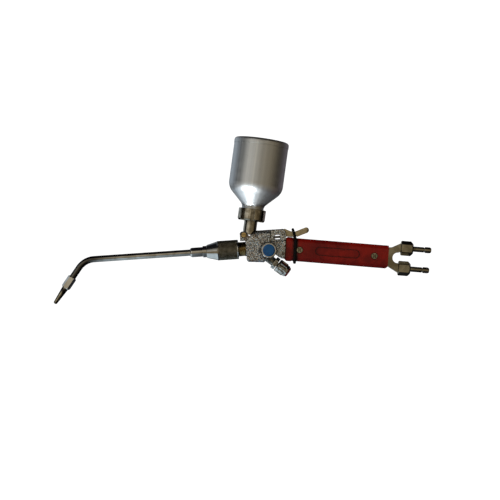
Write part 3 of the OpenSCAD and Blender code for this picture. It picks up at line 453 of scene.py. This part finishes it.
def from_bmesh(name, bm, sharp_angle=35):
    """Object from a bmesh, smooth except along edges sharper than sharp_angle degrees."""
    bmesh.ops.recalc_face_normals(bm, faces=bm.faces)
    limit = math.radians(sharp_angle)
    for face in bm.faces:
        face.smooth = True
    for edge in bm.edges:
        edge.smooth = edge.calc_face_angle(0) < limit
    mesh = bpy.data.meshes.new(name)
    bm.to_mesh(mesh)
    bm.free()
    return mesh_object(name, mesh)


def welded(node):
    """The CAD node's mesh as a bmesh, with its faces joined along their edges."""
    bm = bmesh.new()
    bm.from_mesh(frame["nodes"][node].data)
    bmesh.ops.remove_doubles(bm, verts=bm.verts, dist=WELD)
    return bm


def eased(node, width):
    """Copy of a CAD node with its sharp edges broken, as tumbling or a file leaves them."""
    bm = welded(node)
    bmesh.ops.dissolve_limit(bm, angle_limit=FLAT_ANGLE, verts=bm.verts, edges=bm.edges)
    sharp = [e for e in bm.edges if len(e.link_faces) == 2 and e.calc_face_angle(0) > CORNER_ANGLE]
    bmesh.ops.bevel(bm, geom=sharp, offset=width, offset_type="OFFSET", segments=2, profile=0.5,
                    affect="EDGES", clamp_overlap=True)
    made = from_bmesh(node + "_finished", bm, 40)
    weigh = made.modifiers.new("weigh", "WEIGHTED_NORMAL")
    weigh.keep_sharp = True
    return made


def evaluated(obj):
    """obj's mesh with its modifiers applied; obj itself is removed."""
    graph = bpy.context.evaluated_depsgraph_get()
    mesh = bpy.data.meshes.new_from_object(obj.evaluated_get(graph))
    bpy.data.objects.remove(obj)
    return mesh


def cast(node, voxel, depth, grain):
    """Copy of a CAD node with its edges rounded off and a sandy skin, as a casting has."""
    raw = from_bmesh(node + "_raw", welded(node))
    remesh = raw.modifiers.new("remesh", "REMESH")
    remesh.mode = "VOXEL"
    remesh.voxel_size = voxel
    soften = raw.modifiers.new("soften", "SMOOTH")
    soften.factor = 0.5
    soften.iterations = 4
    mesh = evaluated(raw)
    mesh.name = node + "_finished"
    normals = [v.normal.copy() for v in mesh.vertices]
    for vertex, normal in zip(mesh.vertices, normals):
        lumps = noise.fractal(vertex.co / grain, 0.9, 2.1, 3)
        vertex.co += normal * (depth * (max(-1, min(1, lumps)) - 1) / 2)
    for face in mesh.polygons:
        face.use_smooth = True
    return mesh_object(node + "_finished", mesh)


def close_rings(bm, rings):
    """Faces between neighbouring rings of points, the last ring joined to the first."""
    sides = len(rings[0])
    for i, ring in enumerate(rings):
        after = rings[(i + 1) % len(rings)]
        for k in range(sides):
            j = (k + 1) % sides
            bm.faces.new((ring[k], ring[j], after[j], after[k]))


def turned(name, outline, place, segments=96, change=None):
    """Body turned about place's z from a closed outline of (radius, height).

    change gives one point's own radius from its radius, height and angle.
    """
    bm = bmesh.new()
    rings = []
    for radius, height in outline:
        ring = []
        for k in range(segments):
            angle = 2 * math.pi * k / segments
            r = radius if change is None else change(radius, height, angle)
            ring.append(bm.verts.new(place @ Vector((r * math.cos(angle), r * math.sin(angle), height))))
        rings.append(ring)
    close_rings(bm, rings)
    return from_bmesh(name, bm)


def stepped(start, end, step):
    """Heights from start to end, about step apart."""
    count = max(1, round(abs(end - start) / step))
    return [start + (end - start) * i / count for i in range(count + 1)]


def saw(value):
    """Triangle wave of period 1, from 0 up to 1 and back."""
    return 1 - abs(2 * (value - math.floor(value)) - 1)


def knurled_union_nut():
    """Union nut: diamond knurling between two smooth bands, a cone in front and a bore behind."""
    starts = round(2 * math.pi * NUT_R / KNURL_PITCH)
    first, last = NUT_U[0] + NUT_BAND, NUT_U[1] - NUT_BAND

    def knurl(radius, height, angle):
        if radius < NUT_R - WELD or not first < height < last:
            return radius
        turn = starts * angle / (2 * math.pi)
        run = height / KNURL_PITCH
        return radius - KNURL_DEPTH * (1 - min(saw(turn + run), saw(turn - run)) ** 0.7)

    front = 0.3 * MM
    edge = 0.5 * MM
    back = 0.6 * MM
    outline = [(NUT_NECK_R, NUT_CONE_U), (NUT_CONE_R - front, NUT_CONE_U), (NUT_CONE_R, NUT_CONE_U + front),
               (NUT_R - edge, NUT_U[0]), (NUT_R, NUT_U[0] + edge)]
    outline += [(NUT_R, h) for h in stepped(first, last, KNURL_PITCH / 4)]
    outline += [(NUT_R, NUT_U[1] - back), (NUT_R - back, NUT_U[1]), (NUT_THREAD_R + edge, NUT_U[1]),
                (NUT_THREAD_R, NUT_U[1] - edge), (NUT_THREAD_R, NUT_SHELF_U), (NUT_NECK_R, NUT_SHELF_U)]
    return turned("union_nut_finished", outline, SPRAY, segments=starts * 4, change=knurl)


def threaded_bonnet():
    """Fuel valve bonnet, with the thread that stays bare under its packing nut."""
    def thread(radius, height, angle):
        if radius < BONNET_R - WELD or not THREAD_H[0] < height < THREAD_H[1]:
            return radius
        return radius - BONNET_THREAD_DEPTH * saw(height / BONNET_PITCH - angle / (2 * math.pi))

    foot = 0.4 * MM
    lip = 0.3 * MM
    outline = [(SPINDLE_BORE_R, BONNET_H[0]), (BONNET_R - foot, BONNET_H[0]), (BONNET_R, BONNET_H[0] + foot)]
    outline += [(BONNET_R, h) for h in stepped(THREAD_H[0], THREAD_H[1], BONNET_PITCH / 8)]
    outline += [(BONNET_R, BONNET_H[1] - lip), (BONNET_R - lip, BONNET_H[1]), (PACKING_R, BONNET_H[1]),
                (PACKING_R, PACKING_H), (SPINDLE_BORE_R, PACKING_H)]
    return turned("fuel_bonnet_finished", outline, FUEL, segments=64, change=thread)


def threaded_spigot():
    """Front spigot: the union's thread runs out in front of the gun's face, and its root is pressed in."""
    first, last = SPIGOT_STEP_U[0] + 0.3 * MM, SPIGOT_STEP_U[1] - 0.9 * MM

    def thread(radius, height, angle):
        if radius < SPIGOT_R[1] - WELD or not first < height < last:
            return radius
        return radius - SPIGOT_THREAD_DEPTH * saw(height / SPIGOT_PITCH - angle / (2 * math.pi))

    end_r, thread_r, root_r = SPIGOT_R
    wide, narrow = SPIGOT_BORE_R
    start, stop = SPIGOT_STEP_U
    outline = [(wide, SPIGOT_U[0]), (end_r, SPIGOT_U[0]), (end_r, start)]
    outline += [(thread_r, h) for h in stepped(start, stop, SPIGOT_PITCH / 8)]
    outline += [(root_r, stop), (root_r, SPIGOT_U[1]), (narrow, SPIGOT_U[1]),
                (narrow, SPIGOT_BORE_STEP_U), (wide, SPIGOT_BORE_STEP_U)]
    return turned("front_spigot_finished", outline, SPRAY, segments=72, change=thread)


def tube_path():
    """Centre line of the spray tube: places along and beside its axis, and the tube's turn there."""
    tangent = BEND_R * math.tan(BEND_ANGLE / 2)
    path = [(u, 0, 0) for u in stepped(TUBE_BACK_U, BEND_U + tangent, 12 * MM)]
    steps = 26
    for i in range(1, steps):
        turn = BEND_ANGLE * i / steps
        path.append((BEND_U + tangent - BEND_R * math.sin(turn), -BEND_R * (1 - math.cos(turn)), turn))
    for s in stepped(tangent, TUBE_FRONT_S, 4 * MM):
        path.append((BEND_U - s * math.cos(BEND_ANGLE), -s * math.sin(BEND_ANGLE), BEND_ANGLE))
    return path


def bent_tube():
    """Spray tube, hollow, swept along its bent centre line."""
    sides = 40
    bm = bmesh.new()
    path = tube_path()
    rings = []
    for radius, points in ((TUBE_R, path), (TUBE_BORE_R, path[::-1])):
        for u, w, turn in points:
            ring = []
            for k in range(sides):
                angle = 2 * math.pi * k / sides
                out = radius * math.cos(angle)
                across = radius * math.sin(angle)
                local = Vector((-(w + out * math.cos(turn)), across, u - out * math.sin(turn)))
                ring.append(bm.verts.new(SPRAY @ local))
            rings.append(ring)
    close_rings(bm, rings)
    return from_bmesh("spray_tube_finished", bm)


def ring_half():
    """Half of the rubber ring's path in y and z, from its crown down to its lowest point, in mm."""
    half = [(0, RING_CROWN), (2.6, RING_CROWN - 0.1), (4.4, RING_CROWN - 1.2),
            (RING_SIDE - 3.4, RING_BASE + 1.6), (RING_SIDE - 1.1, RING_BASE - 1.4),
            (RING_SIDE, RING_BASE - 5), (RING_SIDE, 4), (RING_SIDE, -6)]
    for angle in (0, math.pi / 4, math.pi / 2):
        half.append((RING_SIDE - RING_CORNER * (1 - math.cos(angle)),
                     -RING_BASE + RING_CORNER * (1 - math.sin(angle))))
    return [Vector(point) for point in half + [(0, -RING_BASE)]]


def ring_x(z):
    """Where the leaning ring lies along the handle at height z, in mm."""
    slope = RING_LEAN[0] if z > RING_BEND_Z else RING_LEAN[1]
    return RING_BEND_X - (z - RING_BEND_Z) * slope


def smooth_loop(loop, steps):
    """Points of the closed Catmull-Rom curve through loop."""
    count = len(loop)
    path = []
    for i in range(count):
        before, start, end, after = (loop[(i + k) % count] for k in (-1, 0, 1, 2))
        for k in range(steps):
            t = k / steps
            square = 2 * before - 5 * start + 4 * end - after
            cube = 3 * start - before - 3 * end + after
            path.append(0.5 * (2 * start + (end - before) * t + square * t ** 2 + cube * t ** 3))
    return path


def rubber_ring():
    """Rubber ring round the handle and over the lever's neck, smooth along its whole path."""
    half = ring_half()
    loop = half + [Vector((-p.x, p.y)) for p in half[-2:0:-1]]
    points = [Vector((ring_x(p.y), p.x, p.y)) * MM for p in smooth_loop(loop, 5)]
    # A hair thinner than the CAD ring, so that the smoother curve stays within its box
    radius = (RING_R - 0.02) * MM
    sides = 16
    bm = bmesh.new()
    rings = []
    for i, point in enumerate(points):
        along = (points[(i + 1) % len(points)] - points[i - 1]).normalized()
        side = Vector((1, 0, 0)).cross(along).normalized()
        up = along.cross(side)
        rings.append([bm.verts.new(point + radius * (side * math.cos(a) + up * math.sin(a)))
                      for a in (2 * math.pi * k / sides for k in range(sides))])
    close_rings(bm, rings)
    return from_bmesh("retaining_ring_finished", bm, 80)


# ---- Pieces ----


def finish_material(node):
    return MATERIALS[SPECIAL_FINISH.get(node, NODE_SLOT[node])]


def stand_for(piece, node, rides=True):
    """piece takes the place of a CAD node: the material that its slot or special finish gives, and its body
    where it rides on one.
    """
    piece.data.materials.clear()
    piece.data.materials.append(finish_material(node))
    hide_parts(node)
    if rides:
        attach(piece, frame["nodes"][node]["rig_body"])


def polish_cone(nut):
    """The union nut's cone and its two plain bands are smooth, and only the knurling is dull."""
    nut.data.materials.append(MATERIALS["chrome"])
    to_axis = SPRAY.inverted()
    for face in nut.data.polygons:
        u = (to_axis @ face.center).z
        if not NUT_U[0] + NUT_POLISHED_BAND < u < NUT_U[1] - NUT_POLISHED_BAND:
            face.material_index = 1


# Width of the broken edge on each turned, milled or moulded piece, in mm
EASED = {
    "tube_ferrule": 0.4, "tube_collar": 0.3, "tip_nut": 0.35, "spray_tip": 0.25,
    "hopper_neck": 0.3, "neck_set_screw": 0.2, "hopper_nut": 0.5, "hopper_cup": 0.12, "hopper_lid": 0.12,
    "lever_pivot_pin": 0.2, "lever_link_pin": 0.15,
    "oxygen_bonnet": 0.4, "oxygen_packing_nut": 0.4, "oxygen_knob": 0.6, "oxygen_cap": 0.3,
    "fuel_packing_nut": 0.4, "fuel_knob": 0.35, "fuel_cap": 0.3,
    "handle_left": 0.5, "handle_right": 0.5, "handle_screws": 0.15,
    "oxygen_hose_nut": 0.4, "fuel_hose_nut": 0.4, "oxygen_hose_tail": 0.35, "fuel_hose_tail": 0.35,
}


# Mesh size, depth of the skin and size of its lumps on each cast piece, in mm
CAST = {"gun_body": (0.45, 0.35, 1.9), "powder_lever": (0.4, 0.12, 2.2), "inlet_fork": (0.4, 0.08, 3)}


def make_pieces():
    for node, width in EASED.items():
        stand_for(eased(node, width * MM), node)
    for node, (voxel, depth, grain) in CAST.items():
        stand_for(cast(node, voxel * MM, depth * MM, grain * MM), node)
    nut = knurled_union_nut()
    stand_for(nut, "union_nut")
    polish_cone(nut)
    stand_for(threaded_bonnet(), "fuel_bonnet")
    stand_for(threaded_spigot(), "front_spigot")
    stand_for(bent_tube(), "spray_tube")
    ring = rubber_ring()
    stand_for(ring, "retaining_ring", rides=False)
    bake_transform(ring)
    for name, node in frame["nodes"].items():
        if not node.hide_render:
            node.data.materials.clear()
            node.data.materials.append(finish_material(name))


# ---- Stage ----

# The room's wall: its colour by share of a turn, from straight behind the torch round by its left,
# with the camera's side at 0.5
WALL = [
    (0.00, (0.46, 0.45, 0.42)), (0.04, (0.40, 0.40, 0.38)), (0.055, (0.02, 0.022, 0.025)),
    (0.09, (0.46, 0.54, 0.62)), (0.19, (0.50, 0.56, 0.62)), (0.215, (0.015, 0.015, 0.015)),
    (0.305, (0.015, 0.015, 0.015)), (0.33, (0.50, 0.49, 0.45)), (0.40, (0.86, 0.83, 0.75)),
    (0.455, (0.66, 0.60, 0.48)), (0.50, (0.30, 0.26, 0.19)), (0.60, (0.30, 0.25, 0.165)),
    (0.68, (0.20, 0.16, 0.10)), (0.71, (0.02, 0.018, 0.012)), (0.80, (0.02, 0.018, 0.014)),
    (0.84, (0.20, 0.18, 0.20)), (0.92, (0.24, 0.22, 0.24)), (0.945, (0.02, 0.02, 0.02)),
    (0.96, (0.36, 0.35, 0.33)), (1.00, (0.46, 0.45, 0.42)),
]
CEILING = (0.008, 0.008, 0.010)

# What the camera itself sees of the floor and the room
BACKDROP = (1.1, 1.1, 1.1)

FLOOR_Z = -0.8
FLOOR_SIZE = 8.0
# What the metal mirrors of the floor: pale under the tip, dark under the grip, and its horizon
# before and behind the torch
FLOOR_PALE = (0.62, 0.76, 0.88)
FLOOR_DARK = (0.02, 0.022, 0.028)
HORIZON_NEAR = (0.20, 0.16, 0.10)
HORIZON_FAR = (0.012, 0.012, 0.014)
FLOOR_BOUNCE = (0.16, 0.17, 0.18)
# Camera: level, square to the torch's side, rolled so that the handle falls to the right
CAMERA_CENTRE = (-0.1093, -0.005)
CAMERA_DISTANCE = 1.4
VIEW_WIDTH = 0.625
ROLL = math.radians(4.62)
SENSOR_WIDTH = 36
# Lights: place, what it is aimed at, size, power, colour and whether the metal mirrors it
CUP = (-0.107, 0, 0.09)
GRIP = (-0.02, 0, 0)
LIGHTS = {
    "low_key": ((-0.40, -0.31, -0.52), CUP, 0.42, 6.5, (0.93, 0.98, 1.0), True),
    "front_fill": ((-0.9, -1.3, 0.10), GRIP, 0.9, 6.5, (1.0, 0.93, 0.85), False),
    "back_fill": ((0.6, 1.5, 0.35), GRIP, 1.2, 16.0, (1.0, 0.97, 0.93), False),
    "top_fill": ((0.8, 0.5, 1.3), CUP, 0.9, 9.0, (0.97, 0.98, 1.0), False),
}
# Pieces that low_key lights
KEY_LIT = ("hopper_cup", "hopper_lid")


def make_floor():
    bm = bmesh.new()
    bmesh.ops.create_grid(bm, x_segments=8, y_segments=8, size=FLOOR_SIZE / 2)
    bmesh.ops.translate(bm, verts=bm.verts, vec=(0, 0, FLOOR_Z))
    floor = from_bmesh("floor", bm)
    made, g = new_material("pale_floor")
    ray = g.node("LightPath")
    x, y = g.node("SeparateXYZ", {0: g.place()}).outputs[:2]
    far = g.node("VectorMath", {0: g.place()}, operation="LENGTH").outputs["Value"]
    near = g.mix(g.remap(x, -0.30, -0.05, 0, 1), FLOOR_PALE, FLOOR_DARK)
    horizon = g.mix(g.remap(y, -0.3, 0.3, 0, 1), HORIZON_NEAR, HORIZON_FAR)
    glow = g.mix(g.remap(far, 1.3, 1.9, 0, 1), near, horizon)
    seen = g.mix(ray.outputs["Is Diffuse Ray"], glow, FLOOR_BOUNCE)
    seen = g.mix(ray.outputs["Is Camera Ray"], seen, BACKDROP)
    shine = g.node("Emission", {"Color": seen, "Strength": 1.0})
    g.node("OutputMaterial", {"Surface": shine.outputs[0]})
    floor.data.materials.append(made)


def make_world():
    """A plain room: white to the camera, and for the metal a banded wall under a dark ceiling."""
    world = bpy.data.worlds.new("room")
    bpy.context.scene.world = world
    world.use_nodes = True
    g = Graph(world.node_tree)
    x, y, z = g.node("SeparateXYZ", {0: g.node("TexCoord").outputs["Generated"]}).outputs
    turn = g.math("ARCTAN2", x, g.math("MULTIPLY", y, -1.0))
    share = g.remap(turn, -math.pi, math.pi, 0, 1)
    wall = g.ramp(share, WALL)
    room = g.mix(g.remap(z, 0.38, 0.62, 0, 1), wall, CEILING)
    ray = g.node("LightPath")
    seen = g.mix(ray.outputs["Is Camera Ray"], room, BACKDROP)
    shine = g.node("Background", {"Color": seen, "Strength": 1.0})
    g.node("OutputWorld", {"Surface": shine.outputs[0]})


def area_light(name, position, target, size, power, colour, glossy):
    lamp = bpy.data.lights.new(name, "AREA")
    lamp.shape = "DISK"
    lamp.size = size
    lamp.energy = power
    lamp.color = colour
    made = bpy.data.objects.new(name, lamp)
    bpy.context.scene.collection.objects.link(made)
    made.location = position
    aim = Vector(target) - Vector(position)
    made.rotation_euler = aim.to_track_quat("-Z", "Y").to_euler()
    made.visible_camera = False
    made.visible_glossy = glossy
    return made


def make_lights():
    lamps = {name: area_light(name, *settings) for name, settings in LIGHTS.items()}
    lit = bpy.data.collections.new("hopper")
    for node in KEY_LIT:
        lit.objects.link(bpy.data.objects[node + "_finished"])
    lamps["low_key"].light_linking.receiver_collection = lit


def make_camera():
    data = bpy.data.cameras.new("camera")
    data.sensor_width = SENSOR_WIDTH
    data.lens = SENSOR_WIDTH / VIEW_WIDTH * CAMERA_DISTANCE
    camera = bpy.data.objects.new("camera", data)
    bpy.context.scene.collection.objects.link(camera)
    right = Vector((math.cos(ROLL), 0, math.sin(ROLL)))
    up = Vector((-math.sin(ROLL), 0, math.cos(ROLL)))
    turn = Matrix((right, up, right.cross(up))).transposed().to_4x4()
    place = Matrix.Translation((CAMERA_CENTRE[0], -CAMERA_DISTANCE, CAMERA_CENTRE[1]))
    camera.matrix_world = place @ turn
    bpy.context.scene.camera = camera


make_camera()
make_pieces()
make_floor()
make_world()
make_lights()
bpy.context.scene.view_settings.view_transform = "Standard"
